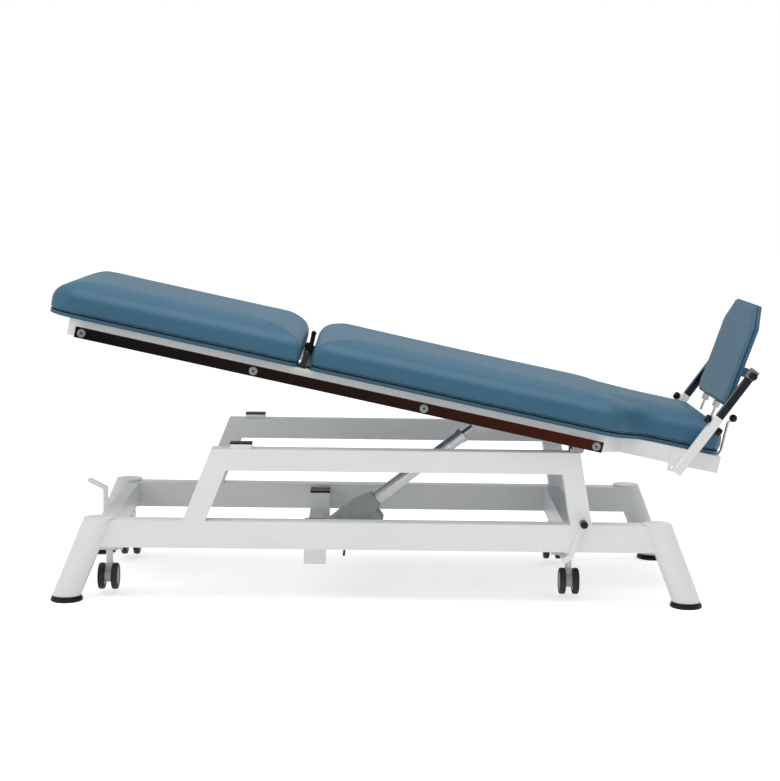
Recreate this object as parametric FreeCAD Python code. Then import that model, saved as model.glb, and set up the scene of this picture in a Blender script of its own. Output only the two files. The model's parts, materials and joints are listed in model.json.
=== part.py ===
import FreeCAD, Part
import math
import os

# Physiotherapy tilt table. Millimetres, Z up, head end at -X, foot end at +X, floor at Z = 0.
# Lengths along X are first measured from the middle of the base's actuator side and the
# whole part is centred at the end. Pieces of the table are drawn in the table's own frame:
# U along the table towards the foot, Y across, W square to the table, with the tilt pin at U = W = 0.

V = FreeCAD.Vector
Y_AXIS = V(0, 1, 0)

# Table in general
tilt_deg = 11.8
pivot_x = 571.0
pivot_z = 444.0
running_fit = 0.05
gap = 0.3
cut_over = 5.0

# Base rails, cross beams, legs and feet
rail_outer_y = 310.0
rail_width = 50.0
rail_bottom = 153.0
rail_height = 76.0
leg_width = 75.0
leg_y = 297.0
leg_radius = 37.0
leg_top_z = 235.0
foot_height = 15.0
foot_radius = 44.5
foot_top_radius = 39.5
foot_rib = 5.0
head_leg_top_x = -753.0
head_leg_foot_x = -843.0
foot_leg_top_x = 798.0
foot_leg_foot_x = 886.0
head_beam_inner_x = -718.0
head_beam_bottom = 162.0
head_beam_height = 66.0
beam_width = 50.0
head_beam_width = 36.0
foot_beam_x = 540.0

# Fixed side frames that stand on the base rails
frame_top_z = 432.0
frame_tube = 60.0
frame_depth = 50.0
frame_head_x = -440.0
frame_foot_x = 577.0
frame_head_inner_x = -400.0
frame_foot_inner_x = 531.0
head_post_outer_x = -520.0
head_post_inner_x = -457.0
foot_post_inner_x = 556.0
foot_post_outer_x = 615.0

# Rubber stops under the level table
stop_x = -359.0
stop_length = 60.0
stop_width = 36.0
stop_groove = 3.0

# Cross member that carries the actuator, with its posts
post_x = -155.0
post_side = 60.0
post_bottom = 100.0
post_height = 118.0
member_width = 40.0
member_height = 60.0

# Table frame
frame_side_y = 300.0
side_tube_width = 30.0
side_tube_height = 47.0
table_w0 = 5.0
frame_head_u = -1437.0
shoulder_u0 = 75.0
shoulder_u1 = 127.0
tail_outer_y = 225.0
frame_end_u = 411.0
cross_tube = 30.0
hinge_tube_height = 30.0
actuator_tube_u = -222.0

# Accessory rails and their fixings
acc_rail_height = 30.0
acc_rail_thick = 10.0
acc_rail_outer_y = 336.0
acc_rail_w0 = 6.0
acc_rail_u0 = -1411.0
acc_rail_u1 = 60.0
acc_edge = 2.0
fixing_us = [-1393.0, -918.0, -442.0, 42.0]
spacer_radius = 9.5
washer_radius = 11.5
washer_thick = 1.0
screw_head_radius = 8.0
screw_head_height = 3.0
screw_socket_radius = 3.5
screw_socket_depth = 2.0

# Tilt pins, their ears on the base and the lugs on the table
tilt_pin_radius = 6.0
lug_wall = 5.5
ear_plate = 8.0
ear_gap = 1.0
ear_radius = 16.0
ear_foot_x = 549.0
pin_head_radius = 10.0
pin_head_height = 3.0

# Upholstered sections
board_thick = 10.0
board_inset = 9.0
cushion_height = 83.0
head_cushion_u0 = -1512.0
head_cushion_u1 = -797.0
leg_cushion_u0 = -779.0
leg_cushion_u1 = 421.0
cushion_half_width = 315.0
narrow_u0 = 95.0
narrow_u1 = 190.0
narrow_half_width = 218.0
head_corner = 80.0
gap_corner = 28.0
nose_corner = 60.0
waist_corner = 90.0
least_corner = 3.0
# Height shares and inward steps of the cushion's side, from its seam to its crown
side_height_shares = [0.0, 0.07, 0.18, 0.34, 0.5, 0.64, 0.76, 0.86, 0.94, 1.0]
side_inset_steps = [9.0, 4.5, 1.2, 0.0, 2.0, 7.0, 15.0, 26.0, 41.0, 62.0]
crown_height_shares = [1.04, 1.07]
crown_inset_steps = [100.0, 160.0]

# Backrest hinge in the gap, its sub-frame and its gas spring
hinge_u = -788.0
hinge_w = 93.0
hinge_ear_radius = 8.0
hinge_ear_width = 14.0
hinge_ear_thick = 6.0
hinge_ear_y = 289.0
hinge_pin_radius = 4.0
moving_ear_gap = 1.0
moving_ear_lift = 1.0
hinge_flange = 3.0
hinge_flange_width = 40.0
sub_inner_y = 210.0
sub_tube_width = 30.0
sub_tube_height = 25.0
sub_u0 = -1385.0
sub_u1 = -805.0
spring_base_u = -823.0
spring_base_w = -25.0
spring_top_u = -1080.0
spring_top_w = 5.0
spring_radius = 10.0
spring_wall = 1.5
spring_rod_radius = 5.0
spring_length = 172.0
spring_end_gap = 16.0
spring_eye_radius = 9.0
spring_eye_width = 12.0
spring_pin_radius = 4.0
cheek_thick = 5.0
cheek_radius = 13.0
open_pin_gap = 0.4
open_pin_length = 3.0

# Actuator
act_low_x = -128.0
act_low_z = 130.0
act_top_u = -249.6
act_top_w = -24.0
act_tube_radius = 19.0
act_rod_radius = 11.0
act_rod_fit = 0.1
act_tube_end = 500.0
act_rod_start = 215.0
act_retract = 50.0
act_eye_radius = 16.0
act_eye_width = 24.0
act_pin_radius = 6.0
act_cheek_thick = 6.0
act_cheek_radius = 30.0
gearbox_s0 = 22.0
gearbox_s1 = 62.0
gearbox_low = -66.0
gearbox_high = 34.0
gearbox_half_width = 30.0
shell_s1 = 119.0
shell_s2 = 182.0
shell_high = 35.0
shell_tip = 22.0
shell_half_width = 24.0
motor_radius = 26.0
motor_n = -38.0
motor_s1 = 162.0
motor_cap = 6.0
collar_length = 14.0
collar_radius = 22.0
low_ear_width = 26.0
low_ear_radius = 14.0

# Control box, mains inlet and the actuator's held lead
box_x0 = -122.0
box_length = 150.0
box_depth = 48.0
box_z0 = 158.0
box_height = 62.0
inlet_width = 28.0
inlet_height = 22.0
inlet_depth = 14.0
inlet_wall = 3.0
inlet_pin_radius = 2.0
inlet_pin_length = 10.0
lead_radius = 3.5
lead_s = 38.0
lead_n = -40.0
# Sideways places and sags of the lead's points, from the motor housing to the control box
lead_side_steps = [0.0, 30.0, 62.0, 98.0, 134.0]
lead_sag_steps = [0.0, 1.0, 7.0, 10.0, 5.0]
lead_bend_share = 0.45

# Castors, castor bars, hangers and pedals
castor_y = 200.0
castor_trail = 18.0
wheel_radius = 37.5
wheel_width = 17.5
wheel_gap = 10.0
wheel_raise = 12.0
wheel_edge = 4.5
hub_radius = 24.0
hub_dish = 2.5
castor_axle_radius = 4.0
castor_stem_radius = 6.0
castor_body_half = 9.5
castor_body_radius = 17.0
castor_body_top = 84.0
castor_sleeve_radius = 9.5
castor_bar_x_head = -738.0
castor_bar_x_foot = 565.0
castor_bar_z0 = 108.0
castor_bar_height = 25.0
castor_bar_width = 30.0
castor_bar_half_length = 218.0
castor_bar_low_half = 150.0
castor_bar_step = 19.0
castor_bar_lap = 12.0
castor_travel = 16.0
hanger_y = 120.0
hanger_thick = 6.0
hanger_margin = 10.0
hanger_low = 102.0
foot_shaft_offset = 24.0
head_shaft_offset = 27.0
shaft_radius = 7.0
finger_hub_wall = 1.5
shaft_half_length = 135.0
finger_radius = 5.0
finger_reach = 27.0
outrigger_thick = 9.0
finger_y = 70.0
finger_width = 12.0
head_pedal_y = -93.0
pedal_width = 8.0
pedal_bar = 14.0
head_pedal_rise = 148.0
head_grip_out = 44.0
head_grip_up = 22.0
foot_pedal_outs = [16.0, 48.0]
foot_pedal_rises = [10.0, 107.0]
grip_radius = 9.5
grip_length = 30.0

# Footboard sleeves, bars, brackets and knobs
sleeve_u = 294.0
sleeve_w = -17.0
sleeve_lean_deg = 23.9
sleeve_side = 25.0
sleeve_wall = 2.0
sleeve_length = 196.0
sleeve_y = 242.0
bar_side = 20.5
bar_start = 60.0
footboard_axis = 343.0
block_side = 24.0
block_end = 18.0
knob_radius = 11.5
knob_length = 15.0
knob_neck = 4.0
knob_stud_radius = 3.0
knob_s = 175.0
knob_flutes = 8
knob_flute_radius = 2.5
knob_flute_share = 1.08
knob_dome = 5.0

# Footboard
board_lean_deg = 7.0
panel_u = 388.0
panel_w = 193.0
panel_width = 400.0
panel_height = 297.0
panel_thick = 10.0
pad_thick = 6.0
pad_inset = 1.5
pad_soft = 3.0
chamfer_y = 64.0
chamfer_z = 63.0
panel_corner = 25.0
pivot_pin_radius = 5.0
pivot_block_width = 28.0
pivot_block_half = 13.0
pivot_pin_inset = 180.0
clip_y = 77.0
clip_width = 30.0
clip_height = 17.0
rod_radius = 4.0
rod_length = 33.0

# Hand lever
lever_y = -110.0
lever_u = 422.0
lever_w = 30.0
lever_radius = 4.0
lever_hub_radius = 8.0
lever_hub_width = 12.0
lever_pin_radius = 3.0
lever_lug_thick = 5.0
lever_rise_u = 433.0
lever_rise_w = 58.0
lever_bend_w = 140.0
lever_end_u = 445.0
lever_end_w = 156.0
lever_ball_radius = 11.0

PARTS = {}


def add(node, *solids):
    """Keep the solids of one node, in the part's frame."""
    PARTS.setdefault(node, []).extend(solids)


def box(x0, x1, y0, y1, z0, z1):
    return Part.makeBox(x1 - x0, y1 - y0, z1 - z0, V(x0, y0, z0))


def rod(start, end, radius):
    """A round bar from one point to another."""
    along = end - start
    return Part.makeCylinder(radius, along.Length, start, along)


def plate_y(points, y0, y1):
    """A plate square to Y: its outline lies in X and Z, or in U and W."""
    corners = [V(x, y0, z) for x, z in points]
    face = Part.Face(Part.makePolygon(corners + corners[:1]))
    return face.extrude(V(0, y1 - y0, 0))


def mirrored(shape):
    """The same solid on the other side of the part's middle plane."""
    return shape.mirror(V(0, 0, 0), Y_AXIS)


def both_sides(shape):
    return [shape, mirrored(shape)]


TABLE = FreeCAD.Placement(V(pivot_x, 0, pivot_z), FreeCAD.Rotation(Y_AXIS, tilt_deg))


def placed(shape, placement):
    copy = shape.copy()
    copy.Placement = placement.multiply(copy.Placement)
    return copy


def on_table(*shapes):
    """Bring solids that are drawn in the table's frame into the part's frame."""
    return [placed(shape, TABLE) for shape in shapes]


def line_x(x0, z0, x1, z1, z):
    """X at the height z on the line through two points."""
    return x0 + (x1 - x0) * (z - z0) / (z1 - z0)


# Values worked out from the sizes above
rail_inner_y = rail_outer_y - rail_width
rail_top = rail_bottom + rail_height
frame_inner_y = rail_outer_y - frame_depth
frame_low_z = frame_top_z - frame_tube
table_w1 = table_w0 + side_tube_height
board_w1 = table_w1 + board_thick
side_tube_inner_y = frame_side_y - side_tube_width
tail_inner_y = tail_outer_y - side_tube_width
sleeve_lean = math.radians(sleeve_lean_deg)
wheel_z = wheel_raise + wheel_radius
castor_bar_z1 = castor_bar_z0 + castor_bar_height


# Base: legs with flat caps, rubber feet, rails that end on the legs, and cross beams
def leg(top_x, foot_x, side):
    """A slanted round tube, cut level at its cap and at its foot."""
    top = V(top_x, side * leg_y, leg_top_z)
    low = V(foot_x, side * leg_y, foot_height)
    along = top - low
    along.normalize()
    spare = along * leg_width
    tube = rod(low - spare, top + spare, leg_radius)
    reach = abs(top_x - foot_x) + 2 * leg_width
    slab = box(top_x - reach, top_x + reach, side * leg_y - leg_width, side * leg_y + leg_width,
               foot_height, leg_top_z)
    return tube.common(slab)


def rubber_foot(foot_x, side):
    middle = V(foot_x, side * leg_y, 0)
    rim = Part.makeCylinder(foot_radius, foot_rib, middle)
    top = Part.makeCone(foot_radius, foot_top_radius, foot_height - foot_rib, middle + V(0, 0, foot_rib))
    return rim.fuse(top).removeSplitter()


leg_lines = {"head": (head_leg_top_x, head_leg_foot_x), "foot": (foot_leg_top_x, foot_leg_foot_x)}
LEGS = {(end, side): leg(top_x, foot_x, side)
        for side in (-1, 1) for end, (top_x, foot_x) in leg_lines.items()}


def base_rail():
    """A rail that runs into the middle of both legs and is fitted round them."""
    outline = []
    for end, z in (("head", rail_bottom), ("foot", rail_bottom), ("foot", rail_top), ("head", rail_top)):
        top_x, foot_x = leg_lines[end]
        outline.append((line_x(top_x, leg_top_z, foot_x, foot_height, z), z))
    return plate_y(outline, rail_inner_y, rail_outer_y).cut(LEGS["head", 1]).cut(LEGS["foot", 1])


def head_beam():
    """The beam between the head legs, fitted round the legs and butted on the rails."""
    beam = box(head_beam_x, head_beam_inner_x, -leg_y, leg_y,
               head_beam_bottom, head_beam_bottom + head_beam_height)
    return beam.cut(LEGS["head", 1]).cut(LEGS["head", -1]).cut(base_rail()).cut(mirrored(base_rail()))


for side in (-1, 1):
    add("head_legs", LEGS["head", side])
    add("foot_legs", LEGS["foot", side])
    add("rubber_feet", rubber_foot(head_leg_foot_x, side), rubber_foot(foot_leg_foot_x, side))
add("base_rail_left", mirrored(base_rail()))
add("base_rail_right", base_rail())
head_beam_x = head_beam_inner_x - head_beam_width
add("head_beam", head_beam())
add("foot_beam", box(foot_beam_x, foot_beam_x + beam_width, -rail_inner_y, rail_inner_y,
                     rail_bottom, rail_top))


# Side frames: a top tube and two leaning posts, mitred at their corners
def side_frame():
    top = [(frame_head_x, frame_top_z), (frame_foot_x, frame_top_z),
           (frame_foot_inner_x, frame_low_z), (frame_head_inner_x, frame_low_z)]
    head = [(frame_head_x, frame_top_z), (frame_head_inner_x, frame_low_z),
            (head_post_inner_x, rail_top), (head_post_outer_x, rail_top)]
    foot = [(frame_foot_x, frame_top_z), (foot_post_outer_x, rail_top),
            (foot_post_inner_x, rail_top), (frame_foot_inner_x, frame_low_z)]
    return [plate_y(outline, frame_inner_y, rail_outer_y) for outline in (top, head, foot)]


add("side_frame_right", *side_frame())
add("side_frame_left", *[mirrored(tube) for tube in side_frame()])


# Rubber stops, with a groove round each one
def stop_buffer():
    top = pivot_z + table_w0 - gap
    y_middle = (frame_inner_y + rail_outer_y) / 2
    block = box(stop_x - stop_length / 2, stop_x + stop_length / 2,
                y_middle - stop_width / 2, y_middle + stop_width / 2, frame_top_z, top)
    block = block.makeFillet(stop_groove, [e for e in block.Edges if abs(e.tangentAt(0).z) > 0.5])
    return block


add("stop_buffers", *both_sides(stop_buffer()))


# Cross member: two posts against the rails, a beam between them and the actuator's cheeks
def cross_member():
    x0 = post_x - post_side / 2
    x1 = post_x + post_side / 2
    z1 = post_bottom + post_height
    inner = rail_inner_y - post_side
    beam_x1 = x0 + member_width
    beam = box(x0, beam_x1, -inner, inner, post_bottom, post_bottom + member_height)
    body = beam
    for y0 in (-rail_inner_y, inner):
        body = body.fuse(box(x0, x1, y0, y0 + post_side, post_bottom, z1))
    y_in = low_ear_width / 2 + gap
    y_out = y_in + act_cheek_thick
    for y0 in (-y_out, y_in):
        cheek = Part.makeCylinder(low_ear_radius, act_cheek_thick, V(act_low_x, y0, act_low_z), Y_AXIS)
        web = box(beam_x1, act_low_x, y0, y0 + act_cheek_thick,
                  act_low_z - low_ear_radius, act_low_z + low_ear_radius)
        body = body.fuse(cheek).fuse(web)
    pin = Part.makeCylinder(act_pin_radius, 2 * y_out, V(act_low_x, -y_out, act_low_z), Y_AXIS)
    return body.fuse(pin).removeSplitter()


add("actuator_cross_member", cross_member())


# Tilt ears: two plates and a pin on each side, round the lug of the table
def tilt_ear():
    lug_y0 = side_tube_inner_y - ear_gap
    lug_y1 = frame_side_y + ear_gap
    solid = None
    for y0, y1 in ((lug_y0 - ear_plate, lug_y0), (lug_y1, lug_y1 + ear_plate)):
        foot = box(ear_foot_x, frame_foot_x, y0, y1, frame_top_z, pivot_z)
        eye = Part.makeCylinder(ear_radius, y1 - y0, V(pivot_x, y0, pivot_z), Y_AXIS)
        above = box(pivot_x - 2 * ear_radius, pivot_x + 2 * ear_radius, y0, y1,
                    frame_top_z, pivot_z + 2 * ear_radius)
        plate = foot.fuse(eye.common(above))
        solid = plate if solid is None else solid.fuse(plate)
    y0 = lug_y0 - ear_plate
    y1 = lug_y1 + ear_plate
    pin = Part.makeCylinder(tilt_pin_radius, y1 - y0, V(pivot_x, y0, pivot_z), Y_AXIS)
    head = Part.makeCylinder(pin_head_radius, pin_head_height, V(pivot_x, y1, pivot_z), Y_AXIS)
    return solid.fuse(pin).fuse(head).removeSplitter()


add("pivot_ears", *both_sides(tilt_ear()))


# Control box on the near rail's inner face, with an open mains inlet at its foot end
def control_box():
    y0 = -rail_inner_y
    y1 = y0 + box_depth
    x1 = box_x0 + box_length
    z_middle = box_z0 + box_height / 2
    y_middle = (y0 + y1) / 2
    body = box(box_x0, x1, y0, y1, box_z0, box_z0 + box_height)
    body = body.makeFillet(inlet_wall, [e for e in body.Edges if abs(e.tangentAt(0).x) > 0.5])
    socket = box(x1 - inlet_depth, x1 + cut_over, y_middle - inlet_width / 2, y_middle + inlet_width / 2,
                 z_middle - inlet_height / 2, z_middle + inlet_height / 2)
    body = body.cut(socket)
    for step in (-1, 0, 1):
        place = V(x1 - inlet_depth, y_middle + step * inlet_width / 4, z_middle)
        body = body.fuse(Part.makeCylinder(inlet_pin_radius, inlet_pin_length, place, V(1, 0, 0)))
    return body.removeSplitter()


add("control_box", control_box())


# Table frame: each side tube runs straight, then steps inward at the shoulder and runs on to the foot
def side_tube():
    z = V(0, 0, side_tube_height)

    def length(corners):
        points = [V(u, y, table_w0) for u, y in corners]
        return Part.Face(Part.makePolygon(points + points[:1])).extrude(z)

    straight = length([(frame_head_u, side_tube_inner_y), (shoulder_u0, side_tube_inner_y),
                       (shoulder_u0, frame_side_y), (frame_head_u, frame_side_y)])
    shoulder = length([(shoulder_u0, side_tube_inner_y), (shoulder_u1, tail_inner_y),
                       (shoulder_u1, tail_outer_y), (shoulder_u0, frame_side_y)])
    tail = length([(shoulder_u1, tail_inner_y), (frame_end_u, tail_inner_y),
                   (frame_end_u, tail_outer_y), (shoulder_u1, tail_outer_y)])
    return [straight, shoulder, tail]


def lever_lugs():
    """Two lugs and a pin on the end tube, which carry the hand lever."""
    half = lever_hub_width / 2 + gap
    outer = half + lever_lug_thick
    solid = None
    for y0 in (lever_y - outer, lever_y + half):
        y1 = y0 + lever_lug_thick
        lug = box(frame_end_u, lever_u, y0, y1, lever_w - lever_hub_radius, lever_w + lever_hub_radius)
        lug = lug.fuse(Part.makeCylinder(lever_hub_radius, y1 - y0, V(lever_u, y0, lever_w), Y_AXIS))
        solid = lug if solid is None else solid.fuse(lug)
    pin = Part.makeCylinder(lever_pin_radius, 2 * outer, V(lever_u, lever_y - outer, lever_w), Y_AXIS)
    return solid.fuse(pin)


def cross_tubes():
    wide = side_tube_inner_y
    head = box(frame_head_u, frame_head_u + cross_tube, -wide, wide, table_w0, table_w1)
    hinge = box(hinge_u - cross_tube / 2, hinge_u + cross_tube / 2, -wide, wide,
                table_w0, table_w0 + hinge_tube_height)
    lift = box(actuator_tube_u - cross_tube / 2, actuator_tube_u + cross_tube / 2, -wide, wide,
               table_w0, table_w1)
    end = box(frame_end_u - cross_tube, frame_end_u, -tail_inner_y, tail_inner_y, table_w0, table_w1)
    return [head, hinge, lift, end.fuse(lever_lugs()).removeSplitter()]


add("table_side_right", *on_table(*side_tube()))
add("table_side_left", *on_table(*[mirrored(tube) for tube in side_tube()]))
add("table_crossbars", *on_table(*cross_tubes()))


# Accessory rails with rounded long edges, held off the frame by spacers and screws
acc_rail_inner_y = acc_rail_outer_y - acc_rail_thick
fixing_w = acc_rail_w0 + acc_rail_height / 2


def accessory_rail():
    bar = box(acc_rail_u0, acc_rail_u1, acc_rail_inner_y, acc_rail_outer_y,
              acc_rail_w0, acc_rail_w0 + acc_rail_height)
    return bar.makeFillet(acc_edge, [e for e in bar.Edges if abs(e.tangentAt(0).x) > 0.5])


def rail_fixing(u):
    spacer = Part.makeCylinder(spacer_radius, acc_rail_inner_y - frame_side_y,
                               V(u, frame_side_y, fixing_w), Y_AXIS)
    head = Part.makeCylinder(screw_head_radius, screw_head_height, V(u, acc_rail_outer_y, fixing_w), Y_AXIS)
    washer = Part.makeCylinder(washer_radius, washer_thick, V(u, acc_rail_outer_y, fixing_w), Y_AXIS)
    socket_y = acc_rail_outer_y + screw_head_height - screw_socket_depth
    socket = Part.makeCylinder(screw_socket_radius, cut_over, V(u, socket_y, fixing_w), Y_AXIS)
    return [spacer, washer.fuse(head).cut(socket).removeSplitter()]


add("accessory_rail_right", *on_table(accessory_rail()))
add("accessory_rail_left", *on_table(mirrored(accessory_rail())))
for u in fixing_us:
    for piece in rail_fixing(u):
        add("rail_fixings", *on_table(*both_sides(piece)))


# Lugs under the side tubes, which turn on the tilt pins
def pivot_lug():
    radius = tilt_pin_radius + lug_wall
    width = side_tube_width - 2 * ear_gap
    y0 = side_tube_inner_y + ear_gap
    eye = Part.makeCylinder(radius, width, V(0, y0, 0), Y_AXIS)
    neck = box(-radius, radius, y0, y0 + width, 0, table_w0)
    block = eye.fuse(neck)
    under = box(-2 * radius, 2 * radius, y0 - cut_over, y0 + width + cut_over, -2 * radius, table_w0)
    hole = Part.makeCylinder(tilt_pin_radius + running_fit, width + 2 * cut_over,
                             V(0, y0 - cut_over, 0), Y_AXIS)
    return block.common(under).cut(hole).removeSplitter()


def pin_room():
    """What the side tube leaves free round the ear's pin."""
    y0 = side_tube_inner_y - cut_over
    length = side_tube_width + 2 * cut_over
    return Part.makeCylinder(tilt_pin_radius + ear_gap, length, V(0, y0, 0), Y_AXIS)


PARTS["table_side_right"][0] = PARTS["table_side_right"][0].cut(on_table(pin_room())[0])
PARTS["table_side_left"][0] = PARTS["table_side_left"][0].cut(on_table(mirrored(pin_room()))[0])
add("pivot_lugs", *on_table(*both_sides(pivot_lug())))


# Bracket of the actuator on its cross tube: cheeks with stub pins that stop beside the rod's eye
def open_bracket(u, w, w_seat, eye_width, pin_radius, thick, radius, seat_u0, seat_u1):
    """Two cheeks below a tube, whose stub pins face the eye without going through it."""
    half = eye_width / 2 + open_pin_gap
    solids = []
    for side in (-1, 1):
        inner = half + open_pin_length
        cheek = Part.makeCylinder(radius, thick, V(u, inner, w), Y_AXIS)
        web = plate_y([(u - radius, w), (u + radius, w), (seat_u1, w_seat), (seat_u0, w_seat)],
                      inner, inner + thick)
        trim = box(u - 4 * radius, u + 4 * radius, inner - cut_over, inner + thick + cut_over,
                   w - 2 * radius, w_seat)
        stub = Part.makeCylinder(pin_radius, open_pin_length, V(u, half, w), Y_AXIS)
        solid = cheek.fuse(web).common(trim).fuse(stub).removeSplitter()
        solids.append(solid if side > 0 else mirrored(solid))
    return solids


add("actuator_bracket", *on_table(*open_bracket(
    act_top_u, act_top_w, table_w0, act_eye_width, act_pin_radius, act_cheek_thick, act_cheek_radius,
    actuator_tube_u - act_cheek_radius, actuator_tube_u + act_cheek_radius)))


# Outlines of the upholstered sections, as corners with their rounding
def head_outline():
    half = cushion_half_width
    return [(head_cushion_u0, -half, head_corner), (head_cushion_u1, -half, gap_corner),
            (head_cushion_u1, half, gap_corner), (head_cushion_u0, half, head_corner)]


def leg_outline():
    half = cushion_half_width
    thin = narrow_half_width
    near = [(leg_cushion_u0, -half, gap_corner), (narrow_u0, -half, waist_corner),
            (narrow_u1, -thin, waist_corner), (leg_cushion_u1, -thin, nose_corner)]
    far = [(u, -y, r) for u, y, r in reversed(near)]
    return near + far


def inset_corners(outline, inset):
    """Move each side of an outline inward and keep its roundings concentric."""
    count = len(outline)
    lines = []
    for i in range(count):
        u0, y0 = outline[i][:2]
        u1, y1 = outline[(i + 1) % count][:2]
        length = math.hypot(u1 - u0, y1 - y0)
        normal = (-(y1 - y0) / length, (u1 - u0) / length)
        lines.append((normal, normal[0] * u0 + normal[1] * y0 + inset))
    corners = []
    for i in range(count):
        (a, b), c = lines[i - 1]
        (d, e), f = lines[i]
        det = a * e - b * d
        convex = det > 0
        radius = outline[i][2] - inset if convex else outline[i][2] + inset
        corners.append(((c * e - b * f) / det, (a * f - c * d) / det, max(radius, least_corner)))
    return corners


def rounded_wire(corners, w):
    """A closed wire of straight runs and tangent arcs."""
    count = len(corners)
    arcs = []
    for i in range(count):
        here = V(corners[i][0], corners[i][1], w)
        before = V(corners[i - 1][0], corners[i - 1][1], w) - here
        after = V(corners[(i + 1) % count][0], corners[(i + 1) % count][1], w) - here
        before.normalize()
        after.normalize()
        half_angle = before.getAngle(after) / 2
        radius = corners[i][2]
        reach = radius / math.tan(half_angle)
        bisector = before + after
        bisector.normalize()
        middle = here + bisector * (radius / math.sin(half_angle) - radius)
        arcs.append((here + before * reach, middle, here + after * reach))
    edges = []
    for i in range(count):
        start, middle, end = arcs[i]
        edges.append(Part.Arc(start, middle, end).toShape())
        edges.append(Part.LineSegment(end, arcs[(i + 1) % count][0]).toShape())
    return Part.Wire(edges)


def cushion(outline, w0, height):
    """An upholstered block: drawn in at its seam, full sides, soft top edge and a low crown."""
    levels = list(zip(side_height_shares, side_inset_steps))
    levels += list(zip(crown_height_shares, crown_inset_steps))
    wires = [rounded_wire(inset_corners(outline, inset), w0 + height * share) for share, inset in levels]
    return Part.makeLoft(wires, True, True)


def board(outline, w0):
    wire = rounded_wire(inset_corners(outline, board_inset), w0)
    return Part.Face(wire).extrude(V(0, 0, board_thick))


add("leg_board", *on_table(board(leg_outline(), table_w1)))
add("leg_cushion", *on_table(cushion(leg_outline(), board_w1, cushion_height)))
add("head_board", *on_table(board(head_outline(), table_w1)))
add("head_cushion", *on_table(cushion(head_outline(), board_w1, cushion_height)))


# Fixed hinge ears in the gap, on the side tubes, and the gas spring's lower cheeks, on the hinge tube
def fixed_hinge_ear():
    half = hinge_ear_width / 2
    y0 = hinge_ear_y
    y1 = y0 + hinge_ear_thick
    web = box(hinge_u - half, hinge_u + half, y0, y1, table_w1, hinge_w)
    eye = Part.makeCylinder(hinge_ear_radius, y1 - y0, V(hinge_u, y0, hinge_w), Y_AXIS)
    reach = 2 * hinge_ear_thick + 2 * moving_ear_gap
    pin = Part.makeCylinder(hinge_pin_radius, reach, V(hinge_u, y1 - reach, hinge_w), Y_AXIS)
    return web.fuse(eye).fuse(pin).removeSplitter()


def spring_low_cheeks():
    """Closed cheeks with a pin for the gas spring's lower eye."""
    half = spring_eye_width / 2 + gap
    seat_u = hinge_u - cross_tube / 2
    seat_w1 = table_w0 + hinge_tube_height
    solid = None
    for y0 in (-half - cheek_thick, half):
        web = plate_y([(spring_base_u - cheek_radius, spring_base_w),
                       (spring_base_u, spring_base_w - cheek_radius),
                       (seat_u, table_w0), (seat_u, seat_w1)], y0, y0 + cheek_thick)
        eye = Part.makeCylinder(cheek_radius, cheek_thick, V(spring_base_u, y0, spring_base_w), Y_AXIS)
        cheek = web.fuse(eye)
        solid = cheek if solid is None else solid.fuse(cheek)
    y_out = half + cheek_thick
    pin = Part.makeCylinder(spring_pin_radius, 2 * y_out, V(spring_base_u, -y_out, spring_base_w), Y_AXIS)
    return solid.fuse(pin).removeSplitter()


add("backrest_brackets", *on_table(*both_sides(fixed_hinge_ear())))
add("backrest_brackets", *on_table(spring_low_cheeks()))


# Backrest sub-frame, with moving hinge ears and the gas spring's open bracket
moving_ear_y = hinge_ear_y - moving_ear_gap - hinge_ear_thick
board_end_u = head_cushion_u1 - board_inset
sub_w0 = table_w1 - gap - sub_tube_height


def subframe():
    w1 = sub_w0 + sub_tube_height
    sides = both_sides(box(sub_u0, sub_u1, sub_inner_y, sub_inner_y + sub_tube_width, sub_w0, w1))
    head = box(sub_u0, sub_u0 + sub_tube_width, -sub_inner_y, sub_inner_y, sub_w0, w1)
    half = sub_tube_width / 2
    middle = box(spring_top_u - half, spring_top_u + half, -sub_inner_y, sub_inner_y, sub_w0, w1)
    return sides + [head, middle]


def moving_hinge_ear():
    half = hinge_ear_width / 2
    y0 = moving_ear_y
    y1 = y0 + hinge_ear_thick
    w0 = table_w1 + moving_ear_lift
    web = box(board_end_u, hinge_u + half, y0, y1, w0, board_w1)
    web = web.fuse(box(hinge_u - half, hinge_u + half, y0, y1, w0, hinge_w))
    eye = Part.makeCylinder(hinge_ear_radius, y1 - y0, V(hinge_u, y0, hinge_w), Y_AXIS)
    foot = box(board_end_u, board_end_u + hinge_flange, y1 - hinge_flange_width, y1, w0, board_w1)
    hole = Part.makeCylinder(hinge_pin_radius + running_fit, y1 - y0 + 2 * cut_over,
                             V(hinge_u, y0 - cut_over, hinge_w), Y_AXIS)
    return web.fuse(eye).fuse(foot).cut(hole).removeSplitter()


add("backrest_subframe", *on_table(*subframe()))
add("backrest_ears", *on_table(*both_sides(moving_hinge_ear())))
add("backrest_ears", *on_table(*open_bracket(
    spring_top_u, spring_top_w, sub_w0, spring_eye_width, spring_pin_radius, cheek_thick, cheek_radius,
    spring_top_u - cheek_radius, spring_top_u + cheek_radius)))


# Gas spring of the backrest: a cylinder that swings on the lower pin, and its rod
def aimed(start, end):
    """A placement that lays local Z from one point of the X-Z plane to another, with local X below it."""
    along = end - start
    angle = math.degrees(math.atan2(along.x, along.z))
    return FreeCAD.Placement(start, FreeCAD.Rotation(Y_AXIS, angle)), along.Length


def eye(radius, width, bore, s=0.0):
    y0 = -width / 2
    ring = Part.makeCylinder(radius, width, V(0, y0, s), Y_AXIS)
    return ring.cut(Part.makeCylinder(bore, width + 2 * cut_over, V(0, y0 - cut_over, s), Y_AXIS))


def upright(radius, s0, s1):
    return Part.makeCylinder(radius, s1 - s0, V(0, 0, s0))


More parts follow.
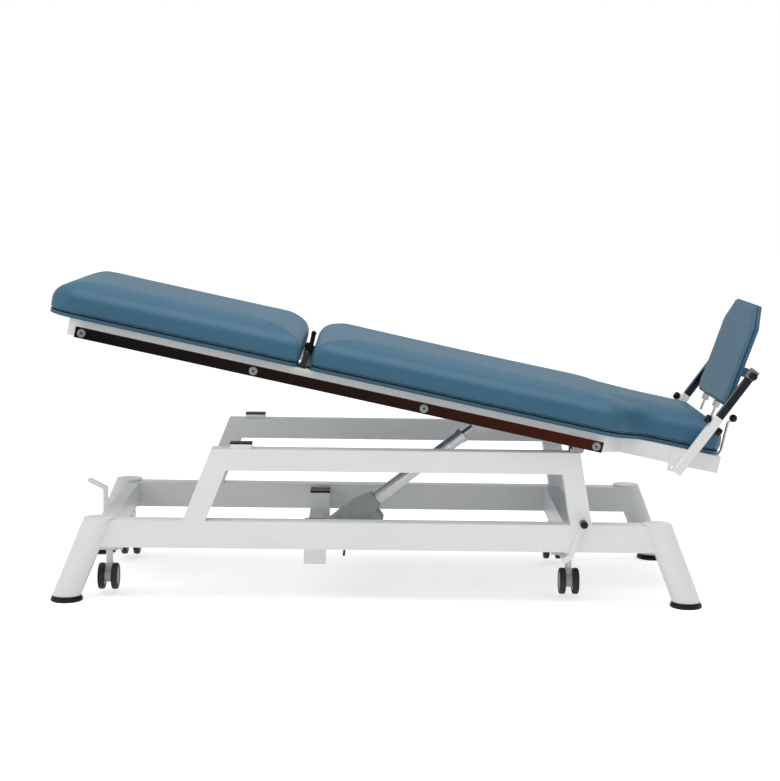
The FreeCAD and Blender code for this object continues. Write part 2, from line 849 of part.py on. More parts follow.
spring_place, spring_total = aimed(V(spring_base_u, 0, spring_base_w), V(spring_top_u, 0, spring_top_w))
spring_neck = spring_eye_radius - spring_wall


def gas_cylinder():
    s1 = spring_end_gap + spring_length
    body = upright(spring_radius, spring_end_gap, s1)
    bore = upright(spring_rod_radius + running_fit, spring_end_gap + spring_wall, s1 + cut_over)
    neck = upright(spring_rod_radius, spring_neck, spring_end_gap)
    return body.cut(bore).fuse(neck).fuse(
        eye(spring_eye_radius, spring_eye_width, spring_pin_radius + running_fit)).removeSplitter()


def gas_rod():
    s0 = spring_end_gap + 2 * spring_wall
    stem = upright(spring_rod_radius, s0, spring_total - spring_neck)
    end = eye(spring_eye_radius, spring_eye_width, spring_pin_radius, spring_total)
    return stem.fuse(end).removeSplitter()


add("gas_spring_cylinder", *on_table(placed(gas_cylinder(), spring_place)))
add("gas_spring_rod", *on_table(placed(gas_rod(), spring_place)))


# Actuator: motor housing and outer tube swing on the lower pin, the rod slides in the tube
act_low = V(act_low_x, 0, act_low_z)
act_top = TABLE.multVec(V(act_top_u, 0, act_top_w))
act_place, act_total = aimed(act_low, act_top)


def act_housing():
    """Gearbox, tapered shell and motor. Local Z runs up the tube and local X points below it."""
    gearbox = box(-gearbox_high, -gearbox_low, -gearbox_half_width, gearbox_half_width,
                  gearbox_s0, gearbox_s1)
    gearbox = gearbox.makeFillet(motor_cap, [e for e in gearbox.Edges if abs(e.tangentAt(0).z) > 0.5])
    shell = plate_y([(-shell_high, gearbox_s1), (-shell_high, shell_s1), (-shell_tip, shell_s2),
                     (shell_tip, shell_s2), (shell_high, shell_s1), (shell_high, gearbox_s1)],
                    -shell_half_width, shell_half_width)
    motor = Part.makeCylinder(motor_radius, motor_s1 - gearbox_s1, V(-motor_n, 0, gearbox_s1))
    cap = Part.makeCylinder(motor_radius - motor_cap, motor_cap, V(-motor_n, 0, motor_s1))
    ear = Part.makeCylinder(low_ear_radius - gap, low_ear_width, V(0, -low_ear_width / 2, 0), Y_AXIS)
    neck = box(-low_ear_radius / 2, low_ear_radius / 2, -low_ear_width / 2, low_ear_width / 2, 0, gearbox_s0)
    hole = Part.makeCylinder(act_pin_radius + running_fit, low_ear_width + 2 * cut_over,
                             V(0, -low_ear_width / 2 - cut_over, 0), Y_AXIS)
    body = gearbox.fuse(shell).fuse(motor).fuse(cap).fuse(ear.fuse(neck).cut(hole))
    return body.cut(upright(act_tube_radius, shell_s1, act_tube_end)).removeSplitter()


def act_outer_tube():
    tube = upright(act_tube_radius, shell_s1, act_tube_end)
    collar = upright(collar_radius, act_tube_end - collar_length, act_tube_end)
    bore = upright(act_rod_radius + act_rod_fit, act_rod_start - act_retract, act_tube_end + cut_over)
    return tube.fuse(collar).cut(bore).removeSplitter()


def act_rod():
    stem = upright(act_rod_radius, act_rod_start, act_total - act_pin_radius - act_rod_fit)
    end = Part.makeCylinder(act_eye_radius, act_eye_width, V(0, -act_eye_width / 2, act_total), Y_AXIS)
    hole = Part.makeCylinder(act_pin_radius, act_eye_width + 2 * cut_over,
                             V(0, -act_eye_width / 2 - cut_over, act_total), Y_AXIS)
    return stem.fuse(end).cut(hole).removeSplitter()


add("actuator_housing", placed(act_housing(), act_place))
add("actuator_tube", placed(act_outer_tube(), act_place))
add("actuator_rod", placed(act_rod(), act_place))


# Held lead from the motor housing to the control box, as straight runs and tangent arcs
def lead():
    out = act_place.multVec(V(-lead_n, 0, lead_s))
    y_start = -gearbox_half_width
    y_end = -rail_inner_y + box_depth + gap
    span = y_start - y_end
    total = lead_side_steps[-1]
    points = [V(out.x, y_start - step * span / total, out.z - sag)
              for step, sag in zip(lead_side_steps, lead_sag_steps)]
    edges = []
    start = points[0]
    radii = []
    for i in range(1, len(points) - 1):
        before = points[i - 1] - points[i]
        after = points[i + 1] - points[i]
        turn = math.pi - before.getAngle(after)
        reach = lead_bend_share * min(before.Length, after.Length)
        radius = reach / math.tan(turn / 2)
        radii.append(round(radius, 1))
        before.normalize()
        after.normalize()
        bisector = before + after
        bisector.normalize()
        middle = points[i] + bisector * (radius / math.cos(turn / 2) - radius)
        first = points[i] + before * reach
        last = points[i] + after * reach
        edges.append(Part.LineSegment(start, first).toShape())
        edges.append(Part.Arc(first, middle, last).toShape())
        start = last
    edges.append(Part.LineSegment(start, points[-1]).toShape())
    path = Part.Wire(edges)
    ring = Part.Wire(Part.makeCircle(lead_radius, points[0], points[1] - points[0]))
    tube = path.makePipeShell([ring], True, False)
    print("lead radii", radii, "length", round(path.Length, 1),
          "volume share", round(tube.Volume / (math.pi * lead_radius ** 2 * path.Length), 4))
    return tube


add("actuator_lead", lead())


# Castors: a swivelling body with its stem and axle, and a pair of wheels
def castor_body(x, side):
    wheel_y = castor_y + castor_trail
    hood = Part.makeCylinder(castor_body_radius, 2 * castor_body_half,
                             V(x - castor_body_half, wheel_y, wheel_z), V(1, 0, 0))
    neck = box(x - castor_body_half, x + castor_body_half, castor_y - castor_sleeve_radius, wheel_y,
               wheel_z, castor_body_top)
    stem = Part.makeCylinder(castor_stem_radius, castor_bar_z1 + castor_bar_step - castor_body_top,
                             V(x, castor_y, castor_body_top))
    reach = wheel_gap + wheel_width - hub_dish
    axle = Part.makeCylinder(castor_axle_radius, 2 * reach, V(x - reach, wheel_y, wheel_z), V(1, 0, 0))
    body = hood.fuse(neck).fuse(stem).fuse(axle).removeSplitter()
    return body if side > 0 else mirrored(body)


def castor_wheel(x, side):
    """One wheel with a dished disc. x is where its inner face lies and side says which way it stands."""
    y = castor_y + castor_trail
    tyre = Part.makeCylinder(wheel_radius, wheel_width, V(0, 0, 0))
    tyre = tyre.makeFillet(wheel_edge, [e for e in tyre.Edges if e.Length > wheel_width * 2])
    dish = Part.makeCylinder(hub_radius, hub_dish + cut_over, V(0, 0, wheel_width - hub_dish))
    bore = Part.makeCylinder(castor_axle_radius + running_fit, wheel_width + 2 * cut_over, V(0, 0, -cut_over))
    wheel = tyre.cut(dish).cut(bore)
    turn = FreeCAD.Rotation(Y_AXIS, side * 90)
    return placed(wheel, FreeCAD.Placement(V(x + side * wheel_gap, y, wheel_z), turn))


castors = {"head_left": (castor_bar_x_head, -1), "head_right": (castor_bar_x_head, 1),
           "foot_left": (castor_bar_x_foot, -1), "foot_right": (castor_bar_x_foot, 1)}
for name, (x, side) in castors.items():
    pair = [castor_wheel(x, -1), castor_wheel(x, 1)]
    add("castor_body_" + name, castor_body(x, side))
    add("castor_wheels_" + name, *(pair if side > 0 else [mirrored(wheel) for wheel in pair]))


# Castor bars, their hangers and the pedal shafts whose fingers press the bars down
shaft_z = castor_bar_z1 + gap + finger_radius - castor_travel / 2
head_shaft_x = castor_bar_x_head - head_shaft_offset
foot_shaft_x = castor_bar_x_foot - foot_shaft_offset


def castor_bar(x):
    """A bar whose ends are stepped up, with a sleeve at each end for the castor's stem."""
    half = castor_bar_width / 2
    low_z = castor_bar_z0 + castor_bar_step
    bar = box(x - half, x + half, -castor_bar_low_half, castor_bar_low_half, castor_bar_z0, castor_bar_z1)
    for side in (-1, 1):
        y0, y1 = sorted((side * (castor_bar_low_half - castor_bar_lap), side * castor_bar_half_length))
        bar = bar.fuse(box(x - half, x + half, y0, y1, low_z, castor_bar_z1 + castor_bar_step))
        sleeve_z = castor_body_top + gap
        middle = V(x, side * castor_y, sleeve_z)
        bar = bar.fuse(Part.makeCylinder(castor_sleeve_radius, low_z - sleeve_z, middle))
        bore = V(x, side * castor_y, sleeve_z - cut_over)
        bar = bar.cut(Part.makeCylinder(castor_stem_radius + running_fit, 2 * castor_bar_z1, bore))
    return bar


def outrigger(x, y):
    """A step on the castor bar that brings its seat outside the pedal shaft."""
    outer = head_shaft_x - finger_reach - finger_width / 2
    inner = outer + 2 * finger_radius
    half = castor_bar_width / 2
    arm = box(outer, x - half, y - finger_width, y + finger_width,
              castor_bar_z0, castor_bar_z0 + outrigger_thick)
    seat = box(outer, inner, y - finger_width, y + finger_width, castor_bar_z0, castor_bar_z1)
    return arm.fuse(seat)


def pedal_shaft(x, y0, y1, direction):
    """A round shaft along Y with two fingers whose tips stand above the seats on the castor bar."""
    solid = Part.makeCylinder(shaft_radius, y1 - y0, V(x, y0, shaft_z), Y_AXIS)
    rise = castor_travel / 2
    tip_x = x + direction * math.sqrt(finger_reach ** 2 - rise ** 2)
    for y in (-finger_y, finger_y):
        start = y - finger_width / 2
        tip = Part.makeCylinder(finger_radius, finger_width, V(tip_x, start, shaft_z + rise), Y_AXIS)
        hub = Part.makeCylinder(shaft_radius + finger_hub_wall, finger_width, V(x, start, shaft_z), Y_AXIS)
        web = plate_y([(x, shaft_z + shaft_radius / 2), (tip_x, shaft_z + rise),
                       (tip_x, shaft_z + rise + finger_radius),
                       (x, shaft_z + shaft_radius + finger_hub_wall)], start, start + finger_width)
        solid = solid.fuse(tip).fuse(hub).fuse(web)
    return solid


def pedal_arm(points, y, width):
    """A bent bar of square section through points of the X-Z plane, with round ends and bends."""
    solid = None
    half = pedal_bar / 2
    for (x0, z0), (x1, z1) in zip(points, points[1:]):
        run = V(x1 - x0, 0, z1 - z0)
        side = V(-run.z, 0, run.x)
        side.normalize()
        side = side * half
        ends = [(x0 + side.x, z0 + side.z), (x1 + side.x, z1 + side.z),
                (x1 - side.x, z1 - side.z), (x0 - side.x, z0 - side.z)]
        piece = plate_y(ends, y - width / 2, y + width / 2)
        for x, z in ((x0, z0), (x1, z1)):
            piece = piece.fuse(Part.makeCylinder(half, width, V(x, y - width / 2, z), Y_AXIS))
        solid = piece if solid is None else solid.fuse(piece)
    return solid


def hanger(bar_x, shaft_x, beam_z, beam_x0, beam_x1, y):
    """A plate below the beam that guides the castor bar in a slot and carries the pedal shaft."""
    half = castor_bar_width / 2 + hanger_margin
    x0 = min(bar_x - half, shaft_x - shaft_radius - hanger_margin)
    x1 = max(bar_x + half, shaft_x + shaft_radius + hanger_margin)
    y0 = y - hanger_thick / 2
    y1 = y + hanger_thick / 2
    z1 = castor_bar_z1 + hanger_margin
    plate = box(x0, x1, y0, y1, hanger_low, z1)
    plate = plate.fuse(box(beam_x0, beam_x1, y0, y1, z1 - hanger_thick, beam_z))
    slot_half = castor_bar_width / 2 + gap
    slot = box(bar_x - slot_half, bar_x + slot_half, y0 - cut_over, y1 + cut_over,
               hanger_low - cut_over, castor_bar_z1 + gap)
    bore = Part.makeCylinder(shaft_radius + running_fit, y1 - y0 + 2 * cut_over,
                             V(shaft_x, y0 - cut_over, shaft_z), Y_AXIS)
    return plate.cut(slot).cut(bore).removeSplitter()


head_bar = castor_bar(castor_bar_x_head)
for y in (-finger_y, finger_y):
    head_bar = head_bar.fuse(outrigger(castor_bar_x_head, y))
add("head_castor_bar", head_bar.removeSplitter())
add("foot_castor_bar", castor_bar(castor_bar_x_foot))
for y in (-hanger_y, hanger_y):
    add("castor_hangers",
        hanger(castor_bar_x_head, head_shaft_x, head_beam_bottom, head_beam_x, head_beam_inner_x, y),
        hanger(castor_bar_x_foot, foot_shaft_x, rail_bottom, foot_beam_x, foot_beam_x + beam_width, y))
head_arm = [(head_shaft_x, shaft_z), (head_shaft_x, shaft_z + head_pedal_rise),
            (head_shaft_x - head_grip_out, shaft_z + head_pedal_rise + head_grip_up)]
head_shaft = pedal_shaft(head_shaft_x, -shaft_half_length, shaft_half_length, -1)
add("head_pedal", head_shaft.fuse(pedal_arm(head_arm, head_pedal_y, pedal_width)).removeSplitter())
foot_pedal_y = -(rail_outer_y + gap + pedal_width / 2)
foot_arm = [(foot_shaft_x, shaft_z)]
foot_arm += [(foot_shaft_x + out, shaft_z + rise) for out, rise in zip(foot_pedal_outs, foot_pedal_rises)]
grip_place = V(foot_arm[-1][0], foot_pedal_y, foot_arm[-1][1])
foot_grip = Part.makeCylinder(grip_radius, grip_length, grip_place, V(0, -1, 0))
foot_shaft = pedal_shaft(foot_shaft_x, foot_pedal_y - pedal_width / 2, shaft_half_length, 1)
foot_lever = pedal_arm(foot_arm, foot_pedal_y, pedal_width).fuse(foot_grip)
add("foot_pedal", foot_shaft.fuse(foot_lever).removeSplitter())


# Sleeves at the foot end, welded to the tail tubes, and the bars that slide in them
SLEEVE = FreeCAD.Placement(V(sleeve_u, sleeve_y, sleeve_w), FreeCAD.Rotation(Y_AXIS, sleeve_lean_deg))
sleeve_half = sleeve_side / 2


def sleeve():
    inner = sleeve_half - sleeve_wall
    outer = box(-sleeve_half, sleeve_half, -sleeve_half, sleeve_half, 0, sleeve_length)
    bore = box(-inner, inner, -inner, inner, -cut_over, sleeve_length + cut_over)
    tube = outer.makeFillet(sleeve_wall, [e for e in outer.Edges if abs(e.tangentAt(0).z) > 0.5]).cut(bore)
    tube = placed(tube, SLEEVE)
    plate_y0 = tail_outer_y
    plate_y1 = sleeve_y - sleeve_half
    tab = box(sleeve_u - sleeve_side, sleeve_u, plate_y0, plate_y1, sleeve_w, table_w1)
    tab = tab.fuse(box(sleeve_u, sleeve_u + 2 * sleeve_side, plate_y0, plate_y1, table_w0, table_w1))
    hole = Part.makeCylinder(tilt_pin_radius / 2, plate_y1 - plate_y0 + 2 * cut_over,
                             V(sleeve_u - sleeve_half, plate_y0 - cut_over, sleeve_w + sleeve_half), Y_AXIS)
    return tube.fuse(tab.cut(hole)).removeSplitter()


def slide_bar():
    half = bar_side / 2
    bar = box(-half, half, -half, half, bar_start, footboard_axis - block_side / 2)
    return placed(bar, SLEEVE)


def bar_block():
    """The grey block at a bar's top, with the pin that the footboard turns on."""
    half = block_side / 2
    block = box(-half, half, -half, half, footboard_axis - half, footboard_axis + block_end)
    block = block.makeFillet(sleeve_wall, [e for e in block.Edges if abs(e.tangentAt(0).y) > 0.5])
    reach = sleeve_y - pivot_pin_inset
    pin = Part.makeCylinder(pivot_pin_radius, reach, V(0, -reach, footboard_axis), Y_AXIS)
    return placed(block.fuse(pin).removeSplitter(), SLEEVE)


add("footboard_sleeves", *on_table(*both_sides(sleeve())))
add("footboard_bars", *on_table(*both_sides(slide_bar())))
add("bar_blocks", *on_table(*both_sides(bar_block())))


# Clamp knobs: fluted heads on short studs that press on the bars
def knob(face, s, side):
    """A knob that stands off a face of the sleeve on its head or foot side, or outward of the bracket."""
    start = face + gap
    stud = Part.makeCylinder(knob_stud_radius, knob_neck, V(0, 0, 0))
    head = Part.makeCylinder(knob_radius, knob_length, V(0, 0, knob_neck))
    rim = [e for e in head.Edges if e.Length > knob_radius * 4 and e.CenterOfMass.z > knob_neck + gap]
    head = head.makeFillet(knob_dome, rim)
    ring = knob_radius * knob_flute_share
    for i in range(knob_flutes):
        angle = 2 * math.pi * i / knob_flutes
        place = V(ring * math.cos(angle), ring * math.sin(angle), knob_neck - cut_over)
        head = head.cut(Part.makeCylinder(knob_flute_radius, knob_length + 2 * cut_over, place))
    whole_knob = stud.fuse(head).removeSplitter()
    outward = FreeCAD.Placement(V(0, start, s), FreeCAD.Rotation(V(1, 0, 0), -90))
    along = FreeCAD.Placement(V(side * start, 0, s), FreeCAD.Rotation(Y_AXIS, side * 90))
    return placed(placed(whole_knob, along if side else outward), SLEEVE)


knob_sets = {"head_side": (sleeve_half, knob_s, -1), "foot_side": (sleeve_half, knob_s - knob_radius, 1),
             "bracket": (block_side / 2, footboard_axis, 0)}
for name, (face, s, side) in knob_sets.items():
    piece = knob(face, s, side)
    add(name + "_knob_right", *on_table(piece))
    add(name + "_knob_left", *on_table(mirrored(piece)))


# Footboard: stiff panel, pad on the patient's side, pivot blocks behind, clips and rods below
BOARD = FreeCAD.Placement(V(panel_u, 0, panel_w), FreeCAD.Rotation(Y_AXIS, board_lean_deg))
axis_on_board = BOARD.inverse().multVec(
    V(sleeve_u + footboard_axis * math.sin(sleeve_lean), 0,
      sleeve_w + footboard_axis * math.cos(sleeve_lean)))


def board_slab(x0, x1, inset):
    half = panel_width / 2 - inset
    low = inset
    high = panel_height - inset
    corner = panel_corner
    slant = corner * (1 - math.sqrt(0.5))
    points = [V(x0, half, low + corner), V(x0, half, high - chamfer_z), V(x0, half - chamfer_y, high),
              V(x0, -half + chamfer_y, high), V(x0, -half, high - chamfer_z), V(x0, -half, low + corner)]
    edges = [Part.LineSegment(a, b).toShape() for a, b in zip(points, points[1:])]
    left = (points[-1], V(x0, -half + slant, low + slant), V(x0, -half + corner, low))
    right = (V(x0, half - corner, low), V(x0, half - slant, low + slant), points[0])
    edges.append(Part.Arc(*left).toShape())
    edges.append(Part.LineSegment(left[2], right[0]).toShape())
    edges.append(Part.Arc(*right).toShape())
    return Part.Face(Part.Wire(edges)).extrude(V(x1 - x0, 0, 0))


def panel():
    body = board_slab(pad_thick, pad_thick + panel_thick, 0)
    back = pad_thick + panel_thick
    y1 = panel_width / 2
    for y0 in (y1 - pivot_block_width, -y1):
        z = axis_on_board.z
        block = box(back, axis_on_board.x, y0, y0 + pivot_block_width,
                    z - pivot_block_half, z + pivot_block_half)
        nose = Part.makeCylinder(pivot_block_half, pivot_block_width, V(axis_on_board.x, y0, z), Y_AXIS)
        body = body.fuse(block.fuse(nose))
    bore = Part.makeCylinder(pivot_pin_radius + running_fit, panel_width + 2 * cut_over,
                             V(axis_on_board.x, -y1 - cut_over, axis_on_board.z), Y_AXIS)
    return body.cut(bore).removeSplitter()


def pad():
    body = board_slab(0, pad_thick, pad_inset)
    rim = [e for e in body.Edges if e.CenterOfMass.x < gap]
    return body.makeFillet(pad_soft, rim)


def clip_and_rod(side):
    thick = pad_thick + panel_thick
    clip = box(0, thick, side * clip_y - clip_width / 2, side * clip_y + clip_width / 2, -clip_height, 0)
    clip = clip.makeFillet(pad_soft, [e for e in clip.Edges if abs(e.tangentAt(0).z) > 0.5])
    stem = Part.makeCylinder(rod_radius, rod_length, V(thick / 2, side * clip_y, -clip_height - rod_length))
    return clip.fuse(stem).removeSplitter()


add("footboard_panel", *on_table(placed(panel(), BOARD)))
add("footboard_pad", *on_table(placed(pad(), BOARD)))
for side in (-1, 1):
    add("footboard_rods", *on_table(placed(clip_and_rod(side), BOARD)))


# Hand lever: a bent round bar with a ball knob, on the lugs of the end tube
def hand_lever():
    points = [V(lever_u, lever_y, lever_w), V(lever_rise_u, lever_y, lever_rise_w),
              V(lever_rise_u, lever_y, lever_bend_w), V(lever_end_u, lever_y, lever_end_w)]
    y0 = lever_y - lever_hub_width / 2
    solid = Part.makeCylinder(lever_hub_radius - gap, lever_hub_width, V(lever_u, y0, lever_w), Y_AXIS)
    for start, end in zip(points, points[1:]):
        solid = solid.fuse(rod(start, end, lever_radius)).fuse(Part.makeSphere(lever_radius, end))
    solid = solid.fuse(Part.makeSphere(lever_ball_radius, points[-1]))
    hole = Part.makeCylinder(lever_pin_radius + running_fit, lever_hub_width + 2 * cut_over,
                             V(lever_u, y0 - cut_over, lever_w), Y_AXIS)
    return solid.cut(hole)


add("hand_lever", *on_table(hand_lever()))


# Centre the part on X over the floor, and write one file per node
whole = Part.makeCompound([solid for solids in PARTS.values() for solid in solids]).BoundBox
shift = V(-(whole.XMin + whole.XMax) / 2, 0, 0)
os.makedirs("parts", exist_ok=True)
for node, solids in PARTS.items():
    shape = solids[0].copy() if len(solids) == 1 else Part.makeCompound([solid.copy() for solid in solids])
    shape.translate(shift)
    shape.exportStep("parts/" + node + ".step")


def shown(point):
    moved = point + shift
    return [round(moved.x / 1000, 5), round(moved.y / 1000, 5), round(moved.z / 1000, 5)]


def direction(vector):
    return [round(vector.x, 5), round(vector.y, 5), round(vector.z, 5)]


sleeve_dir = TABLE.Rotation.multVec(SLEEVE.Rotation.multVec(V(0, 0, 1)))
knob_dir = TABLE.Rotation.multVec(SLEEVE.Rotation.multVec(V(1, 0, 0)))
print("nodes", len(PARTS), "size", [round(v, 1) for v in (whole.XLength, whole.YLength, whole.ZLength)])
print("tilt", shown(V(pivot_x, 0, pivot_z)))
print("backrest", shown(TABLE.multVec(V(hinge_u, 0, hinge_w))))
print("spring base", shown(TABLE.multVec(V(spring_base_u, 0, spring_base_w))),
      "axis", direction(TABLE.Rotation.multVec(spring_place.Rotation.multVec(V(0, 0, 1)))))
print("actuator base", shown(act_low), "axis", direction(act_place.Rotation.multVec(V(0, 0, 1))))
print("footboard axis", shown(TABLE.multVec(SLEEVE.multVec(V(0, 0, footboard_axis)))))
print("sleeve axis", direction(sleeve_dir), "knob axis", direction(knob_dir))
for name, (face, s, side) in knob_sets.items():
    print(name, shown(TABLE.multVec(SLEEVE.multVec(V(0, 0, s)))))
print("hand lever", shown(TABLE.multVec(V(lever_u, lever_y, lever_w))))
print("pedals", shown(V(head_shaft_x, 0, shaft_z)), shown(V(foot_shaft_x, 0, shaft_z)))
for name, (x, side) in castors.items():
    print("castor", name, shown(V(x, side * castor_y, 0)),
          shown(V(x, side * (castor_y + castor_trail), wheel_z)))
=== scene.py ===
import json
import math

import bmesh
import bpy
import numpy as np
from mathutils import Matrix, Vector

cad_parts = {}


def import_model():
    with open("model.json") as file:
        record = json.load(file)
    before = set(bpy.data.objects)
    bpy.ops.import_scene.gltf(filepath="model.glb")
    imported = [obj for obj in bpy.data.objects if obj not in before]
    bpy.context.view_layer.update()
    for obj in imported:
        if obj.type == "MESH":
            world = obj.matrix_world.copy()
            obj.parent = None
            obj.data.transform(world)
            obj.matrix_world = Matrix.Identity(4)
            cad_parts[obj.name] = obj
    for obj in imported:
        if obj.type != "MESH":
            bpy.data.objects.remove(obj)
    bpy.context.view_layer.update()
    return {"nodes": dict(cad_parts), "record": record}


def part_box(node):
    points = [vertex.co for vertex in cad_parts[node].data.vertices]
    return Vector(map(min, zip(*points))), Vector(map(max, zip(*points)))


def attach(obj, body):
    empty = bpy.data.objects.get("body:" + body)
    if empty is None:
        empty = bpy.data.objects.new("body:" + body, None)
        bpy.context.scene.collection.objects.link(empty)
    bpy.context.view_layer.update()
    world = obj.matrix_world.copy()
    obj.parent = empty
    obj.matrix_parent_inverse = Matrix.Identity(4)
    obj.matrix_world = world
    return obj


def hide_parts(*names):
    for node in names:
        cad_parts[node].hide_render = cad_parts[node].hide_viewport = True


# Physiotherapy tilt table: looks, light and camera. Metres, Z up, head end at -X.
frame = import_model()
NODES = frame["nodes"]

# The table's own frame: u towards its foot, y across, w off its top, from the axis of the tilt pins
TILT = math.radians(11.8)
PIVOT = Vector((0.46651, 0, 0.444))
TABLE = Matrix.Translation(PIVOT) @ Matrix.Rotation(TILT, 4, "Y")
TABLE_UP = (TABLE.to_3x3() @ Vector((0, 0, 1))).normalized()

# The footboard leans back from the table's normal by a few degrees
BOARD_LEAN = TILT + math.radians(7)
BOARD_UP = (-math.cos(BOARD_LEAN), 0, math.sin(BOARD_LEAN))

SIDES = ((-1, "left"), (1, "right"))

# Materials. Most values of a noise lie between these two.
NOISE_LOW, NOISE_HIGH = 0.3, 0.7


class Paint:
    """One node material, with short ways to add the nodes that its colour, gloss and grain need."""

    def __init__(self, name, color, rough, metallic=0.0, specular=0.5):
        self.mat = bpy.data.materials.new(name)
        self.mat.use_nodes = True
        self.tree = self.mat.node_tree
        self.tree.nodes.clear()
        self.bsdf = self.node("ShaderNodeBsdfPrincipled")
        self.link(self.bsdf.outputs[0], self.node("ShaderNodeOutputMaterial").inputs["Surface"])
        self.bsdf.inputs["Base Color"].default_value = (*color, 1)
        self.bsdf.inputs["Roughness"].default_value = rough
        self.bsdf.inputs["Metallic"].default_value = metallic
        self.bsdf.inputs["Specular IOR Level"].default_value = specular
        self.place = self.node("ShaderNodeTexCoord").outputs["Object"]
        self.normal = None

    def node(self, kind, **values):
        """A new node, with its input sockets set by name."""
        made = self.tree.nodes.new(kind)
        for key, value in values.items():
            made.inputs[key.replace("_", " ")].default_value = value
        return made

    def link(self, a, b):
        self.tree.links.new(a, b)

    def noise(self, scale, detail=3.0, rough=0.55, stretch=(1, 1, 1)):
        """A grey value that wanders over the piece, per metre of its own frame."""
        scaled = self.node("ShaderNodeMapping", Scale=stretch)
        self.link(self.place, scaled.inputs["Vector"])
        made = self.node("ShaderNodeTexNoise", Scale=scale, Detail=detail, Roughness=rough)
        self.link(scaled.outputs[0], made.inputs["Vector"])
        return made.outputs["Fac"]

    def cells(self, scale):
        """A grey value in small cells, for grained leather."""
        made = self.node("ShaderNodeTexVoronoi", Scale=scale)
        self.link(self.place, made.inputs["Vector"])
        return made.outputs["Distance"]

    def tint(self, fac, low, high, start=NOISE_LOW, end=NOISE_HIGH):
        """The surface's colour goes from low to high with a grey value."""
        ramp = self.node("ShaderNodeValToRGB")
        ends = ramp.color_ramp.elements
        ends[0].position, ends[0].color = start, (*low, 1)
        ends[1].position, ends[1].color = end, (*high, 1)
        self.link(fac, ramp.inputs["Fac"])
        self.link(ramp.outputs["Color"], self.bsdf.inputs["Base Color"])
        return ramp

    def gloss(self, fac, low, high):
        """The surface's roughness goes from low to high with a grey value."""
        scaled = self.node("ShaderNodeMapRange", From_Min=NOISE_LOW, From_Max=NOISE_HIGH,
                           To_Min=low, To_Max=high)
        self.link(fac, scaled.inputs["Value"])
        self.link(scaled.outputs[0], self.bsdf.inputs["Roughness"])

    def bump(self, fac, strength, distance):
        """A grey value stands out of the surface, on top of the bumps that came before."""
        made = self.node("ShaderNodeBump", Strength=strength, Distance=distance)
        self.link(fac, made.inputs["Height"])
        if self.normal is not None:
            self.link(self.normal, made.inputs["Normal"])
        self.normal = made.outputs[0]
        self.link(self.normal, self.bsdf.inputs["Normal"])


def powder_coat():
    """White powder coat with its fine orange peel."""
    paint = Paint("powder_coat", (0.78, 0.79, 0.78), rough=0.4)
    paint.tint(paint.noise(3.0), (0.76, 0.77, 0.765), (0.80, 0.805, 0.80))
    paint.gloss(paint.noise(40.0), 0.33, 0.46)
    paint.bump(paint.noise(650.0, detail=2.0), strength=0.10, distance=0.0004)
    paint.bump(paint.noise(18.0, detail=1.0), strength=0.05, distance=0.002)
    return paint.mat


def leatherette():
    """Blue upholstery vinyl: leather grain, and a slow waviness under it."""
    dark, light = (0.027, 0.104, 0.172), (0.033, 0.119, 0.192)
    paint = Paint("leatherette", light, rough=0.42, specular=0.36)
    paint.tint(paint.noise(7.0, detail=2.0), dark, light, 0.2, 0.8)
    paint.gloss(paint.noise(60.0, detail=2.0), 0.42, 0.48)
    paint.bump(paint.cells(620.0), strength=0.22, distance=0.0006)
    paint.bump(paint.noise(90.0), strength=0.10, distance=0.001)
    paint.bump(paint.noise(9.0, detail=2.0), strength=0.03, distance=0.003)
    return paint.mat


def moulded(name, low, high, rough, grain=900.0, depth=0.12, **shine):
    """A moulded or sprayed surface with a fine even grain."""
    paint = Paint(name, high, rough, **shine)
    paint.tint(paint.noise(30.0), low, high)
    paint.gloss(paint.noise(120.0), rough - 0.06, rough + 0.08)
    paint.bump(paint.noise(grain, detail=2.0), depth, distance=0.0004)
    return paint.mat


def brushed(name, low, high, rough, depth=0.08):
    """Bare metal, drawn or plated."""
    paint = Paint(name, high, rough, metallic=1.0)
    paint.tint(paint.noise(60.0), low, high)
    streaks = paint.noise(420.0, detail=4.0, rough=0.7)
    paint.gloss(streaks, rough - 0.08, rough + 0.1)
    paint.bump(streaks, depth, distance=0.0003)
    return paint.mat


def lacquer_with_painted_reflection():
    """Dark polished lacquer, near black, with a painted reflection: the colour turns to red-brown towards
    the foot end.
    """
    head_x, foot_x = -0.95, 0.52
    near_black, reflected_brown, reflected_red_brown = (0.0015, 0.0015, 0.002), (0.010, 0.004, 0.0015), (0.052, 0.008, 0.002)
    along_grain = (0.1, 1, 1)
    paint = Paint("dark_lacquer", (0.02, 0.01, 0.005), rough=0.16, specular=0.06)
    # Painted reflection: along the rail's X the colour runs near black, brown, red-brown
    split = paint.node("ShaderNodeSeparateXYZ")
    paint.link(paint.place, split.inputs[0])
    reflection_along = paint.node("ShaderNodeMapRange", From_Min=head_x, From_Max=foot_x)
    paint.link(split.outputs["X"], reflection_along.inputs["Value"])
    ramp = paint.tint(reflection_along.outputs[0], near_black, reflected_red_brown, 0.0, 1.0)
    ramp.color_ramp.elements.new(0.55).color = (*reflected_brown, 1)
    paint.gloss(paint.noise(60.0, rough=0.6, stretch=along_grain), 0.16, 0.30)
    paint.bump(paint.noise(300.0, 2.0, 0.5, along_grain), strength=0.03, distance=0.0003)
    return paint.mat


